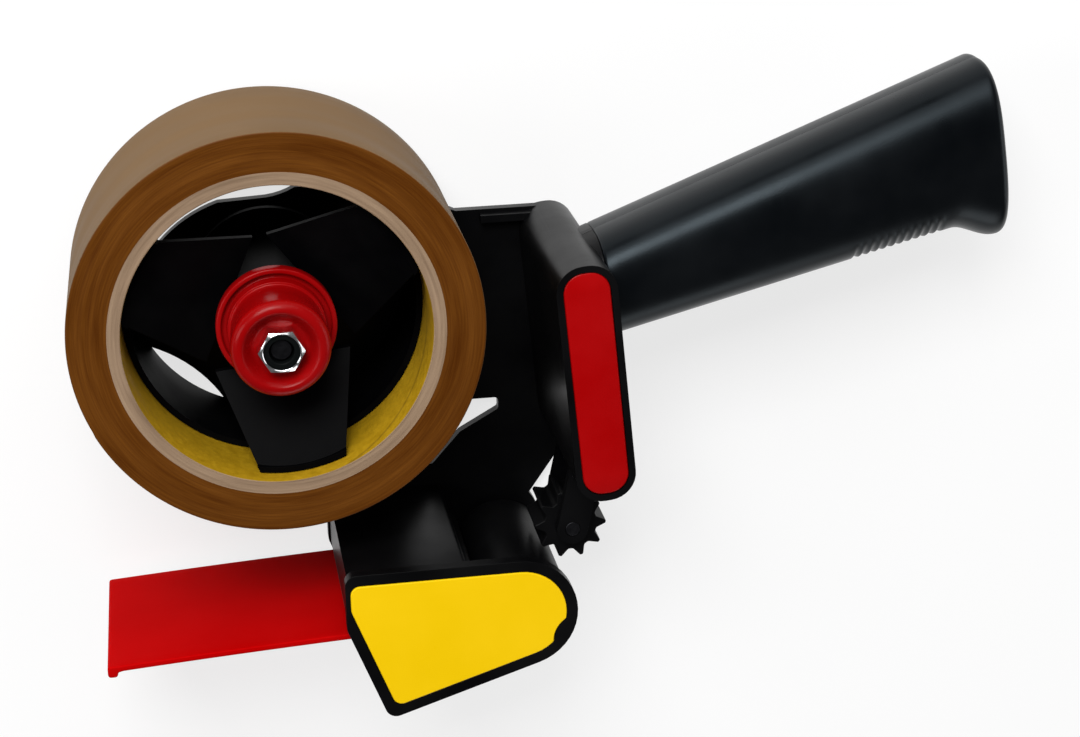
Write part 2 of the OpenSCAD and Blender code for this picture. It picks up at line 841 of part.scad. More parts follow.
// Plan of one hub arm, which narrows from the barrel to the core
module arm_plan() {
    slope = (arm_root_w - arm_tip_w) / (shoe_r - barrel_r);
    root = arm_root_w + slope * barrel_r;
    reach = shoe_r + 4;
    tip = arm_tip_w - slope * (reach - shoe_r);
    polygon([[0, -root / 2], [reach, -tip / 2], [reach, tip / 2], [0, root / 2]]);
}

// Sloping front face of one hub arm, and the web behind it
module hub_arm() {
    seat_r = shoe_r - shoe_t / 2;
    face_z = barrel_end_z - face_drop;
    root_r = barrel_r - 1;
    web_z = hub_z + arm_t / 2;
    web_top = face_z - arm_t / 2;
    shoe_z = shoe_end_z - arm_t;
    intersection() {
        linear_extrude(shoe_end_z)
            arm_plan();
        rotate([90, 0, 0])
            linear_extrude(2 * barrel_r + arm_root_w, center = true)
                polygon([[root_r, face_z], [shoe_r, shoe_end_z], [shoe_r, shoe_z], [root_r, face_z - arm_t]]);
        cylinder(r = seat_r, h = 2 * shoe_end_z);
    }
    translate([0, arm_t / 2, 0])
        rotate([90, 0, 0])
            linear_extrude(arm_t)
                polygon([[root_r, web_z], [seat_r, web_z], [seat_r, shoe_z], [root_r, web_top]]);
}

// Wall inside the core: a full ring at the back, and one shoe in front of it for each arm
module hub_wall() {
    base = plate_t + end_gap;
    intersection() {
        translate([0, 0, base])
            difference() {
                cylinder(r = shoe_r, h = shoe_end_z - base);
                translate([0, 0, -eps])
                    cylinder(r = shoe_r - shoe_t, h = shoe_end_z);
            }
        union() {
            cylinder(r = core_id, h = base + rim_h);
            for (i = [0:2])
                rotate(arm_angle + 120 * i)
                    linear_extrude(2 * shoe_end_z)
                        arm_plan();
        }
    }
    translate([0, 0, base])
        difference() {
            cylinder(r = core_id / 2 + core_wall - 0.6, h = lip_t);
            translate([0, 0, -eps])
                cylinder(r = shoe_r - shoe_t / 2, h = lip_t + 2 * eps);
        }
}

module hub() {
    color(black)
        difference() {
            union() {
                translate([0, 0, hub_z])
                    cylinder(r = barrel_r, h = barrel_end_z - hub_z);
                translate([0, 0, hub_z])
                    cylinder(r = hub_disc_r, h = arm_t);
                for (i = [0:2])
                    rotate(arm_angle + 120 * i)
                        hub_arm();
                hub_wall();
            }
            translate([0, 0, hub_z - eps])
                cylinder(r = bolt_r + run_fit, h = barrel_end_z);
            translate([0, 0, pocket_z])
                cylinder(r = pocket_r, h = barrel_end_z);
        }
}

module pressure_washer() {
    color(steel)
        washer(pocket_r - 0.6, pocket_z);
}

module thrust_washer() {
    color(steel)
        washer(pocket_r - 0.6, thrust_z);
}

// Wound spring: one tube of six sides, with closed flat end turns
function spring_rise(t) = wire_d / 2 + (spring_l - wire_d) * t;
function spring_mid(t) = concat(on_circle(spring_r, 360 * spring_turns * t), spring_z + spring_rise(t));
module brake_spring() {
    rings = 8 * spring_turns;
    r = wire_d / 2;
    gap = (spring_l - wire_d) / spring_turns - wire_d;
    echo(spring_gap = gap);
    color(steel)
        loft([for (i = [0:rings])
            let(t = i / rings, a = 360 * spring_turns * t, m = spring_mid(t))
            [for (k = [0:5]) m + r * 0.98 * [cos(a) * cos(60 * k), sin(a) * cos(60 * k), sin(60 * k)]]]);
}

// Half section of the knob: flange with a raised rim, cap with a dished front
module brake_knob() {
    flange_t = 2.4;
    rim_h = 1.2;
    rim_w = 1.4;
    edge = 1.8;
    dish_r = knob_cap_r - 2.4;
    dish_h = 3.4;
    floor_r = hex_af * 0.75;
    bore = bolt_r + 0.4;
    top = knob_h;
    cap_edge = [for (a = [0:15:90]) [knob_cap_r - 0.4 - edge + edge * cos(a), top - edge + edge * sin(a)]];
    color(red)
        translate([0, 0, knob_z])
            difference() {
                rotate_extrude()
                    polygon(concat([[bore, 0], [knob_flange_r - 0.5, 0], [knob_flange_r, 0.5],
                        [knob_flange_r, flange_t + rim_h - 0.4], [knob_flange_r - 0.4, flange_t + rim_h],
                        [knob_flange_r - rim_w, flange_t + rim_h], [knob_flange_r - rim_w - 0.5, flange_t],
                        [knob_cap_r + 0.6, flange_t], [knob_cap_r, flange_t + 0.6]],
                        cap_edge, [[dish_r, top], [floor_r, top - dish_h], [bore, top - dish_h]]));
                translate([0, 0, nut_z - knob_z])
                    hex_prism(hex_af + 2 * fixed_fit, nut_h);
            }
}

module brake_nut() {
    corner = hex_af / 2 / cos(30);
    color(steel)
        translate([0, 0, nut_z])
            difference() {
                intersection() {
                    hex_prism(hex_af, nut_h);
                    union() {
                        cylinder(r = corner + eps, h = nut_h - 0.8);
                        translate([0, 0, nut_h - 0.8])
                            cylinder(r1 = corner + 0.2, r2 = hex_af / 2 - 0.3, h = 0.8);
                    }
                }
                translate([0, 0, -eps])
                    cylinder(r = bolt_r + run_fit, h = nut_h + 2 * eps);
            }
}

module tape_core() {
    color("#c8ad86")
        translate([0, 0, roll_z])
            difference() {
                cylinder(d = core_id + 2 * core_wall, h = tape_w);
                translate([0, 0, -eps])
                    cylinder(d = core_id, h = tape_w + 2 * eps);
            }
}

module tape_winding() {
    color("#8a5a1e")
        translate([0, 0, roll_z])
            difference() {
                cylinder(r = roll_r, h = tape_w);
                translate([0, 0, -eps])
                    cylinder(d = core_id + 2 * core_wall, h = tape_w + 2 * eps);
            }
}

side_frame();
near_cheek();
cheek_inset();
cheek_screws();
rear_wall_inset();
handle_near_half();
handle_far_half();
handle_screws();
application_roller();
roller_axle();
star_wheel();
star_wheel_pin();
cutter_blade();
blade_clamp();
blade_screws();
wiper_flap();
axle_bolt();
friction_washer();
hub();
pressure_washer();
brake_spring();
thrust_washer();
brake_knob();
brake_nut();
tape_core();
tape_winding();
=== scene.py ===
import json
import math

import bmesh
import bpy
import numpy as np
from mathutils import Matrix, Vector


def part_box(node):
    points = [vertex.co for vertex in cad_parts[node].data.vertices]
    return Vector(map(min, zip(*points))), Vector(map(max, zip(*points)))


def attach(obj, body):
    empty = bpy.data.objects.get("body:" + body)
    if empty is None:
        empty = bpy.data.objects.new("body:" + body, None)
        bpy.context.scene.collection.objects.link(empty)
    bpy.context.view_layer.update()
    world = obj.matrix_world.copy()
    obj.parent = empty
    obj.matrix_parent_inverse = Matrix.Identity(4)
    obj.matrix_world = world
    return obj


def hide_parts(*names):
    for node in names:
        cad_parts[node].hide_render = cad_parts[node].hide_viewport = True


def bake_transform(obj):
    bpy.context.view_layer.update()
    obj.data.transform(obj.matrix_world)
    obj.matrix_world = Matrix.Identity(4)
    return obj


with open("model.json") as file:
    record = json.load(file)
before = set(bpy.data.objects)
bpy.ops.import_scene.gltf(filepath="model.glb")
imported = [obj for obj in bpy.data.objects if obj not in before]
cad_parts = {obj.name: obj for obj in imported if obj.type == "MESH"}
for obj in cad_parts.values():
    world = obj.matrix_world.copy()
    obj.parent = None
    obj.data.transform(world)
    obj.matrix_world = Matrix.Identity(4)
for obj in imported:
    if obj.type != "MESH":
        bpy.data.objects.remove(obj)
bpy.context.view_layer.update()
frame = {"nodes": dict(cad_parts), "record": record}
bodyOf = {n: b for b, names in frame["record"]["behaviour"]["bodies"].items() for n in names}
mm = 0.001
print("frame loaded:", len(frame["nodes"]), "nodes")


def nodeBox(node):
    # a CAD node's lowest and highest corners, in millimetres
    return np.array([list(corner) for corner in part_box(node)]) / mm


def arc(cx, cy, radius, startDeg, endDeg, count):
    # points at even angles on a circle about (cx, cy)
    t = np.radians(np.linspace(startDeg, endDeg, count))
    return np.stack([cx + radius * np.cos(t), cy + radius * np.sin(t)], 1)


def smoothStep(t):
    t = np.clip(t, 0, 1)
    return t * t * (3 - 2 * t)


def fullTurn(count):
    # even angles once round, without the closing one
    return np.linspace(0, 2 * np.pi, count, endpoint=False)


def aroundAxis(r, z, a):
    # points at radius r, height z and angle a about the roll's axis
    r, z, a = np.broadcast_arrays(r, z, a)
    return np.stack([r * np.cos(a), r * np.sin(a), z], -1)


def hexRadius(a, acrossFlats):
    # distance from a hexagon's middle to its side at angle a
    return acrossFlats / 2 / np.cos((a % (np.pi / 3)) - np.pi / 6)


def gridFaces(nu, nv, closed, first=0):
    # a quad joins each grid point with its next neighbours: v goes round, and u too where closed is set
    u, v = np.meshgrid(np.arange(nu if closed else nu - 1), np.arange(nv), indexing="ij")
    u1, v1 = (u + 1) % nu, (v + 1) % nv
    quads = np.stack([u * nv + v, u * nv + v1, u1 * nv + v1, u1 * nv + v], -1)
    return (first + quads).reshape(-1, 4).tolist()


def endCaps(nu, nv):
    # one face closes the first ring, and one the last
    return [list(range(nv))[::-1], list(range((nu - 1) * nv, nu * nv))]


def bandGroups(rings, count, first, last):
    # material 1 on the faces of rings first to last, and material 0 on the others
    ring = np.repeat(np.arange(rings), count)
    return ((ring >= first) & (ring <= last)).astype(int)


def turned(profile, count):
    # a closed profile of (radius, height) carried round the roll's axis
    rows = aroundAxis(profile[:, :1], profile[:, 1:], fullTurn(count))
    return rows, gridFaces(len(profile), count, True)


merging = {"double": 1e-7, "sliver": 1e-8, "cadDouble": 2e-6, "cadSliver": 1e-7, "flatDeg": 0.4}
softEdges = {"bevelDeg": 28, "sharpDeg": 40}


def meshPiece(name, node, rows, faces, materials, sharpDeg, groups=None):
    # one closed mesh from points in millimetres: doubles merged and normals outwards
    mesh = bpy.data.meshes.new(name)
    mesh.from_pydata((np.reshape(rows, (-1, 3)) * mm).tolist(), [], faces)
    if groups is not None:
        mesh.polygons.foreach_set("material_index", groups)
    bm = bmesh.new()
    bm.from_mesh(mesh)
    bmesh.ops.remove_doubles(bm, verts=bm.verts, dist=merging["double"])
    bmesh.ops.dissolve_degenerate(bm, edges=bm.edges, dist=merging["sliver"])
    bmesh.ops.recalc_face_normals(bm, faces=bm.faces)
    bm.to_mesh(mesh)
    bm.free()
    placePiece(name, node, mesh, materials, sharpDeg)


def placePiece(name, node, mesh, materials, sharpDeg, rides=True):
    # an object at the origin that stands for a CAD node, smooth up to the sharp angle
    mesh.shade_smooth()
    mesh.set_sharp_from_angle(angle=math.radians(sharpDeg))
    for material in materials:
        mesh.materials.append(material)
    piece = bpy.data.objects.new(name, mesh)
    bpy.context.scene.collection.objects.link(piece)
    if rides:
        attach(piece, bodyOf[node])
    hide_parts(node)
    return piece


def mergedCopy(node, name, flatten):
    # a CAD node's mesh with its doubles merged, and with its flat faces joined where flatten is set
    bm = bmesh.new()
    bm.from_mesh(frame["nodes"][node].data)
    bmesh.ops.remove_doubles(bm, verts=bm.verts, dist=merging["cadDouble"])
    bmesh.ops.dissolve_degenerate(bm, edges=bm.edges, dist=merging["cadSliver"])
    if flatten:
        angle = math.radians(merging["flatDeg"])
        bmesh.ops.dissolve_limit(
            bm, angle_limit=angle, use_dissolve_boundaries=False, verts=bm.verts, edges=bm.edges
        )
    mesh = bpy.data.meshes.new(name)
    bm.to_mesh(mesh)
    bm.free()
    for layer in ("custom_normal", "sharp_face", "sharp_edge"):
        if layer in mesh.attributes:
            mesh.attributes.remove(mesh.attributes[layer])
    return mesh


def softened(node, width, material, segments):
    # a copy of a CAD node whose edges are rounded by a bevel
    name = node + "_soft"
    mesh = mergedCopy(node, name, True)
    piece = placePiece(name, node, mesh, [material], softEdges["sharpDeg"])
    bevel = piece.modifiers.new("edges", "BEVEL")
    bevel.width = width * mm
    bevel.segments = segments
    bevel.limit_method = "ANGLE"
    bevel.angle_limit = math.radians(softEdges["bevelDeg"])
    bevel.use_clamp_overlap = True
    bevel.harden_normals = True


class Finish:
    # a node tree with its main shader, and short calls that add and join nodes
    def __init__(self, name, **sockets):
        self.material = bpy.data.materials.new(name)
        self.material.use_nodes = True
        self.tree = self.material.node_tree
        self.shader = self.tree.nodes["Principled BSDF"]
        for key, value in sockets.items():
            self.shader.inputs[key.replace("_", " ")].default_value = value
        self.coords = self.add("ShaderNodeTexCoord").outputs["Object"]

    def add(self, kind, **values):
        node = self.tree.nodes.new(kind)
        for key, value in values.items():
            if hasattr(node, key):
                setattr(node, key, value)
            else:
                node.inputs[key.replace("_", " ")].default_value = value
        return node

    def join(self, out, socket):
        self.tree.links.new(out, socket)

    def noise(self, scale, detail=4.0, rough=0.55, stretch=None, where=None):
        node = self.add("ShaderNodeTexNoise", Scale=scale, Detail=detail, Roughness=rough)
        source = where or self.coords
        if stretch:
            mapping = self.add("ShaderNodeMapping")
            mapping.inputs["Scale"].default_value = stretch
            self.join(source, mapping.inputs["Vector"])
            source = mapping.outputs["Vector"]
        self.join(source, node.inputs["Vector"])
        return node.outputs["Fac"]

    def remap(self, out, low, high, toLow, toHigh):
        node = self.add("ShaderNodeMapRange", clamp=True)
        for k, v in enumerate((low, high, toLow, toHigh)):
            node.inputs[k + 1].default_value = v
        self.join(out, node.inputs[0])
        return node.outputs[0]

    def math(self, kind, a, b=None):
        node = self.add("ShaderNodeMath", operation=kind)
        for k, v in enumerate((a, b)):
            if v is None:
                continue
            if isinstance(v, (int, float)):
                node.inputs[k].default_value = v
            else:
                self.join(v, node.inputs[k])
        return node.outputs[0]

    def mix(self, factor, first, second):
        node = self.add("ShaderNodeMix", data_type="RGBA")
        self.join(factor, node.inputs[0])
        for k, v in ((6, first), (7, second)):
            if isinstance(v, (tuple, list)):
                node.inputs[k].default_value = (*v, 1)
            else:
                self.join(v, node.inputs[k])
        return node.outputs[2]

    def bump(self, height, strength, distance, below=None):
        node = self.add("ShaderNodeBump", Strength=strength, Distance=distance)
        self.join(height, node.inputs["Height"])
        if below is not None:
            self.join(below, node.inputs["Normal"])
        return node.outputs["Normal"]

    def radius(self):
        # distance from the roll's axis, height along it and turn about it
        parts = self.add("ShaderNodeSeparateXYZ")
        self.join(self.coords, parts.inputs[0])
        x, y, z = parts.outputs
        square = self.math("ADD", self.math("MULTIPLY", x, x), self.math("MULTIPLY", y, y))
        return self.math("SQRT", square), z, self.math("ARCTAN2", y, x)

    def ringed(self, value, turn, spread):
        # a place that follows value, and drifts by spread as the turn goes once round without a seam
        where = self.add("ShaderNodeCombineXYZ")
        self.join(value, where.inputs[0])
        self.join(self.math("MULTIPLY", self.math("COSINE", turn), spread), where.inputs[1])
        self.join(self.math("MULTIPLY", self.math("SINE", turn), spread), where.inputs[2])
        return where.outputs[0]

    def done(self, color=None, roughness=None, normal=None):
        for out, key in ((color, "Base Color"), (roughness, "Roughness"), (normal, "Normal")):
            if out is not None:
                self.join(out, self.shader.inputs[key])
        return self.material


def linear(r, g, b):
    # display colour from 0 to 255 as linear light
    c = np.array([r, g, b]) / 255
    return tuple(np.where(c <= 0.04045, c / 12.92, ((c + 0.055) / 1.055) ** 2.4).tolist())


def mouldedPlastic(name, color, roughness, grain, depth, shine, worn=1.25, paintedLightTint=(1, 1, 1)):
    # moulded plastic: fine grain in the bump, slow drift in colour and gloss, faint rub marks; the tint
    # argument colours its reflections, painting in the colour of the light
    f = Finish(name, Specular_IOR_Level=shine, Specular_Tint=(*paintedLightTint, 1))
    drift = f.noise(45, 3)
    rub = f.remap(f.noise(420, 3, 0.6, (1, 0.12, 1)), 0.6, 0.78, 0, 1)
    lighter = tuple(min(1, c * worn + 0.002) for c in color)
    tone = f.mix(f.remap(drift, 0.35, 0.7, 0, 1), color, lighter)
    slow = f.remap(drift, 0.3, 0.7, roughness - 0.05, roughness + 0.06)
    rough = f.math("ADD", slow, f.math("MULTIPLY", rub, 0.05))
    fine = f.bump(f.noise(grain, 2, 0.5), 0.35, depth)
    return f.done(tone, rough, f.bump(f.noise(110, 2), 0.08, 0.0006, fine))


def plainMetal(name, color, roughness, stretch):
    # drawn or turned steel: fine lines along one direction
    f = Finish(name, Metallic=1.0)
    lines = f.noise(700, 3, 0.6, stretch)
    tone = f.mix(f.remap(lines, 0.3, 0.7, 0, 1), tuple(0.72 * c for c in color), color)
    rough = f.remap(lines, 0.3, 0.7, roughness - 0.06, roughness + 0.08)
    return f.done(tone, rough, f.bump(lines, 0.25, 0.00003))


blackPlastic = mouldedPlastic("black_moulding", linear(5, 5, 6), 0.32, 2600, 0.00003, shine=0.11)
# the grip's reflections are tinted blue: a painted cool light colour in its highlight
gripPlastic = mouldedPlastic(
    "grip_moulding", linear(3, 4, 6), 0.31, 1900, 0.00004, shine=0.2, paintedLightTint=(0.74, 0.9, 1.0)
)
hubPlastic = mouldedPlastic("hub_moulding", linear(3, 3, 4), 0.4, 2200, 0.00003, shine=0.02)
knobPlastic = mouldedPlastic(
    "knob_moulding", linear(142, 1, 3), 0.26, 2200, 0.00003, worn=1.12, shine=0.12
)
rollerPlastic = mouldedPlastic("roller_moulding", linear(6, 6, 7), 0.45, 1500, 0.00006, shine=0.1)
redPlastic = mouldedPlastic("red_moulding", linear(160, 1, 3), 0.28, 2200, 0.00003, worn=1.1, shine=0.1)
flapPlastic = mouldedPlastic(
    "red_flexible", linear(180, 1, 2), 0.5, 1700, 0.00004, worn=1.08, shine=0.006
)
yellowPlastic = mouldedPlastic(
    "yellow_moulding", linear(245, 201, 6), 0.32, 2400, 0.00003, worn=1.04, shine=0.1
)
# near-black insert inside the nut's rim: its colour is a painted dark reflection on the nut's face
paintedDarkInsert = mouldedPlastic("painted_dark_insert", linear(7, 10, 10), 0.45, 1800, 0.00003, shine=0.08)
brightSteel = plainMetal("bright_plate", (0.8, 0.81, 0.83), 0.16, (1, 1, 0.2))
plainSteel = plainMetal("plain_steel", (0.52, 0.52, 0.54), 0.33, (1, 1, 0.15))
screwSteel = plainMetal("screw_steel", (0.3, 0.3, 0.32), 0.36, (0.4, 1, 1))
darkSteel = plainMetal("blackened_steel", (0.03, 0.03, 0.034), 0.45, (1, 1, 0.3))
bladeSteel = plainMetal("blade_steel", (0.6, 0.61, 0.63), 0.25, (1, 1, 0.1))


def fibreFinish():
    f = Finish("pressed_fibre", Roughness=0.85)
    flecks = f.noise(900, 5, 0.7)
    tone = f.mix(f.remap(flecks, 0.35, 0.65, 0, 1), (0.13, 0.06, 0.025), (0.25, 0.14, 0.06))
    return f.done(tone, f.remap(flecks, 0.3, 0.7, 0.78, 0.92), f.bump(flecks, 0.5, 0.0001))


fibre = fibreFinish()

tapeLook = {
    "sideDark": linear(77, 38, 3),
    "sideLight": linear(107, 62, 13),
    "faceColor": linear(116, 90, 60),
    "layerPitch": 0.00016,  # visible bands in the wound edge
}


def tapeEdgeFinish():
    # wound edge: rings of uneven tone about the axis, glossy where the film's cut edges lie flush
    f = Finish("tape_edge", Specular_IOR_Level=0.12)
    r, _, turn = f.radius()
    bands = f.noise(1 / tapeLook["layerPitch"] / 2.5, 4, 0.65, None, f.ringed(r, turn, 0.0012))
    broad = f.noise(260, 3, 0.6, None, f.ringed(r, turn, 0.004))
    shade = f.math("ADD", f.math("MULTIPLY", bands, 0.55), f.math("MULTIPLY", broad, 0.6))
    tone = f.mix(f.remap(shade, 0.42, 0.76, 0, 1), tapeLook["sideDark"], tapeLook["sideLight"])
    return f.done(tone, f.remap(broad, 0.3, 0.7, 0.34, 0.5), f.bump(bands, 0.4, 0.00008))


def tapeFaceFinish():
    # outer face: clear glossy film over brown adhesive, with slow cloudy bands along the turn
    f = Finish("tape_face", Specular_IOR_Level=0.03)
    _, z, turn = f.radius()
    streaks = f.noise(90, 1, 0.4, None, f.ringed(z, turn, 0.006))
    cloud = f.noise(28, 3)
    dark = tuple(0.82 * c for c in tapeLook["faceColor"])
    shade = f.math("ADD", f.math("MULTIPLY", streaks, 0.5), f.math("MULTIPLY", cloud, 0.5))
    tone = f.mix(f.remap(shade, 0.35, 0.65, 0, 1), dark, tapeLook["faceColor"])
    return f.done(tone, f.remap(streaks, 0.3, 0.7, 0.44, 0.58), f.bump(f.noise(60, 1, 0.4), 0.1, 0.0003))


def cardFinish():
    # cut edge of the card core: plies about the axis with torn fibre
    f = Finish("card_edge", Roughness=0.85)
    r, _, turn = f.radius()
    plies = f.noise(900, 4, 0.6, None, f.ringed(r, turn, 0.002))
    fibreNoise = f.noise(1400, 4, 0.7)
    tone = f.mix(f.remap(plies, 0.3, 0.7, 0, 1), linear(124, 100, 77), linear(156, 130, 104))
    return f.done(tone, None, f.bump(f.math("ADD", plies, fibreNoise), 0.5, 0.0001))


coreLook = {
    "paperDark": linear(164, 127, 4), "paperLight": linear(190, 150, 10), "jointColor": linear(96, 72, 10),
    "climb": 12.5, "turnShare": 0.159155,  # spiral joint: turns in a metre, and turns in a radian
    "jointHalf": 0.012, "jointTone": 0.55,
}


def coreInsideFinish():
    # coated inside of the core: yellow paper, with the spiral joint of its winding
    c = coreLook
    f = Finish("core_inside", Coat_Weight=0.1, Coat_Roughness=0.3)
    _, z, turn = f.radius()
    climb, share = f.math("MULTIPLY", z, c["climb"]), f.math("MULTIPLY", turn, c["turnShare"])
    spiral = f.math("FRACT", f.math("ADD", climb, share))
    joint = f.remap(f.math("ABSOLUTE", f.math("SUBTRACT", spiral, 0.5)), 0.0, c["jointHalf"], 1, 0)
    paper = f.noise(520, 4, 0.65)
    base = f.mix(f.remap(paper, 0.3, 0.7, 0, 1), c["paperDark"], c["paperLight"])
    tone = f.mix(f.math("MULTIPLY", joint, c["jointTone"]), base, c["jointColor"])
    rough = f.remap(paper, 0.3, 0.7, 0.5, 0.62)
    return f.done(tone, rough, f.bump(f.math("SUBTRACT", paper, joint), 0.3, 0.0001))


tapeEdge, tapeFace = tapeEdgeFinish(), tapeFaceFinish()
cardEdge, coreInside = cardFinish(), coreInsideFinish()
print("materials made:", len(bpy.data.materials))

roll = {
    "segments": 192, "edgeRound": 0.35, "layerRipple": 0.05, "rings": 34,
    "endStep": 0.16, "endAt": 205, "endPower": 6,  # step at the outer turn's end
    "coreBore": 76.2, "coreRound": 0.3, "coreGap": 0.02, "coreRimIn": 0.4, "coreSegments": 160,
    "plyRipple": 0.08, "plyPhase": 1.9, "plies": 8,
}


def buildWinding():
    # side faces: height ripples from ring to ring; outer face: the radius shrinks along the turn and steps
    # back once, at the tape's end
    lo, hi = nodeBox("tape_winding")
    inner, outer, z0, z1 = nodeBox("tape_core")[1][0], hi[0], lo[2], hi[2]
    e, n = roll["edgeRound"], roll["segments"]
    rng = np.random.default_rng(7)
    radii = np.linspace(inner, outer - e, roll["rings"])
    ripple = roll["layerRipple"] * rng.uniform(0, 1, roll["rings"])
    top = np.stack([radii, z1 - ripple], 1)
    bottom = np.stack([radii, z0 + ripple], 1)[::-1]
    upper, lower = arc(outer - e, z1 - e, e, 90, 0, 5), arc(outer - e, z0 + e, e, 0, -90, 5)
    wall = np.stack([np.full(9, outer), np.linspace(z1 - e, z0 + e, 9)], 1)[1:-1]
    profile = np.concatenate([top[:-1], upper, wall, lower, bottom[1:]])
    a = fullTurn(n)
    after = ((a - math.radians(roll["endAt"])) % (2 * np.pi)) / (2 * np.pi)
    share = np.clip((profile[:, :1] - inner) / (outer - inner), 0, 1) ** roll["endPower"]
    rows = aroundAxis(profile[:, :1] - roll["endStep"] * after * share, profile[:, 1:], a)
    faces = gridFaces(len(profile), n, True)
    last = len(top) + len(upper) + len(wall) + len(lower) - 3
    groups = bandGroups(len(profile), n, len(top) + 1, last)
    meshPiece("wound_tape", "tape_winding", rows, faces, [tapeEdge, tapeFace], 40, groups)


def buildCore():
    # card tube whose cut edges ripple from ply to ply; the bore keeps its own finish
    lo, hi = nodeBox("tape_core")
    inner, outer, z0, z1 = roll["coreBore"] / 2, hi[0], lo[2], hi[2]
    e, plies = roll["coreRound"], roll["plies"]
    outside = np.array([[outer - roll["coreGap"], z0], [outer - roll["coreGap"], z1]])
    rimR = np.linspace(outer - roll["coreRimIn"], inner + e, plies)
    ripple = roll["plyRipple"] * np.abs(np.sin(np.arange(plies) * roll["plyPhase"]))
    rimTop, rimLow = np.stack([rimR, z1 - ripple], 1), np.stack([rimR, z0 + ripple], 1)[::-1]
    boreTop, boreLow = arc(inner + e, z1 - e, e, 90, 180, 4), arc(inner + e, z0 + e, e, 180, 270, 4)
    boreWall = np.stack([np.full(6, inner), np.linspace(z1 - e, z0 + e, 6)], 1)[1:-1]
    profile = np.concatenate([outside, rimTop, boreTop, boreWall, boreLow, rimLow])
    rows, faces = turned(profile, roll["coreSegments"])
    first = len(outside) + len(rimTop) + 2
    groups = bandGroups(len(profile), roll["coreSegments"], first, first + len(boreWall) + 3)
    meshPiece("card_core", "tape_core", rows, faces, [cardEdge, coreInside], 40, groups)


buildWinding()
buildCore()
print("tape roll built")

knob = {
    "flangeR": 15.0, "flangeT": 2.2, "rimH": 1.6, "rimW": 1.3, "collarR": 12.2, "collarH": 3.4,
    "neckR": 11.4, "brimR": 12.2, "brimRound": 2.4, "floorR": 6.3, "dishDepth": 3.4,
    "boreR": 3.6, "boreChamfer": 0.4, "footRound": 0.6, "rimRound": 0.5, "rimInRound": 0.3,
    "valleyRound": 0.5, "collarFillet": 0.4, "collarRound": 0.25, "segments": 128,
}


def buildKnob():
    # turned profile: flange with a raised rim, low collar, neck that widens to a rounded brim, and a bowl
    # whose depth follows a smooth step from the brim's crest to its floor
    lo, hi = nodeBox("brake_knob")
    z0, z1 = lo[2], hi[2]
    k = knob
    flangeTop = z0 + k["flangeT"]
    rimTop, collarTop = flangeTop + k["rimH"], flangeTop + k["collarH"]
    flangeR, rimIn, brimR = k["flangeR"], k["flangeR"] - k["rimW"], k["brimR"]
    foot, rim, lip, valley = k["footRound"], k["rimRound"], k["rimInRound"], k["valleyRound"]
    fillet, edge, brim, boreR = k["collarFillet"], k["collarRound"], k["brimRound"], k["boreR"]
    crest, floorZ = brimR - brim, z1 - k["dishDepth"]
    bowlR = np.linspace(crest, k["floorR"], 14)[1:]
    bowlZ = z1 - k["dishDepth"] * smoothStep((crest - bowlR) / (crest - k["floorR"]))
    profile = np.concatenate([
        [[boreR, z0], [flangeR - foot, z0]],
        arc(flangeR - foot, z0 + foot, foot, -80, 0, 5),
        arc(flangeR - rim, rimTop - rim, rim, 0, 90, 5),
        arc(rimIn + lip, rimTop - lip, lip, 90, 180, 4),
        arc(rimIn - valley, flangeTop + valley, valley, 0, -90, 5),
        arc(k["collarR"] + fillet, flangeTop + fillet, fillet, -90, -180, 5),
        arc(k["collarR"] - edge, collarTop - edge, edge, 0, 90, 5),
        arc(k["neckR"] + fillet, collarTop + fillet, fillet, -90, -180, 4),
        [[0.5 * (k["neckR"] + brimR), 0.5 * (collarTop + z1 - brim)]],
        arc(crest, z1 - brim, brim, 0, 90, 11),
        np.stack([bowlR, bowlZ], 1),
        [[boreR + k["boreChamfer"], floorZ], [boreR, floorZ - k["boreChamfer"]]],
    ])
    rows, faces = turned(profile, k["segments"])
    meshPiece("brake_knob_turned", "brake_knob", rows, faces, [knobPlastic], 50)


nut = {
    "acrossFlats": 10.0, "boreR": 3.06, "chamferDeg": 30, "chamferFrom": 0.955, "boreChamfer": 0.5,
    "rimR": 4.45, "insertDepth": 0.7, "edgeIn": 0.05, "edgeDown": 0.12, "rimBevel": 0.15, "rimFlat": 0.2,
    "segments": 144,
}


def buildNut():
    # hexagon about the axis: radius from the nearest flat, and a cone that takes the corners off both ends;
    # inside its bright front rim lies a dark insert whose near-black colour is a painted dark reflection
    lo, hi = nodeBox("brake_nut")
    z0, z1 = lo[2], hi[2]
    n = nut["segments"]
    a = fullTurn(n)
    face = nut["acrossFlats"] / 2 * nut["chamferFrom"]
    hexR = hexRadius(a, nut["acrossFlats"])
    drop = np.maximum(hexR - face, 0) * math.tan(math.radians(nut["chamferDeg"]))
    bore, chamfer, rim, deep = nut["boreR"], nut["boreChamfer"], nut["rimR"], z1 - nut["insertDepth"]
    edge, down, bevel = hexR - nut["edgeIn"], drop + nut["edgeDown"], nut["rimBevel"]
    rows = [
        (bore, z0 + chamfer), (bore + chamfer, z0), (face, z0),
        (edge, z0 + drop), (hexR, z0 + down), (hexR, z1 - down), (edge, z1 - drop),
        (face, z1), (rim + nut["rimFlat"], z1), (rim, z1 - bevel),
        (rim, deep), (bore + bevel, deep), (bore, deep - bevel),
    ]
    grid = np.stack([aroundAxis(r, z, a) for r, z in rows])
    groups = bandGroups(len(rows), n, 9, len(rows) - 1)
    faces = gridFaces(len(rows), n, True)
    meshPiece("brake_nut_hex", "brake_nut", grid, faces, [brightSteel, paintedDarkInsert], 18, groups)


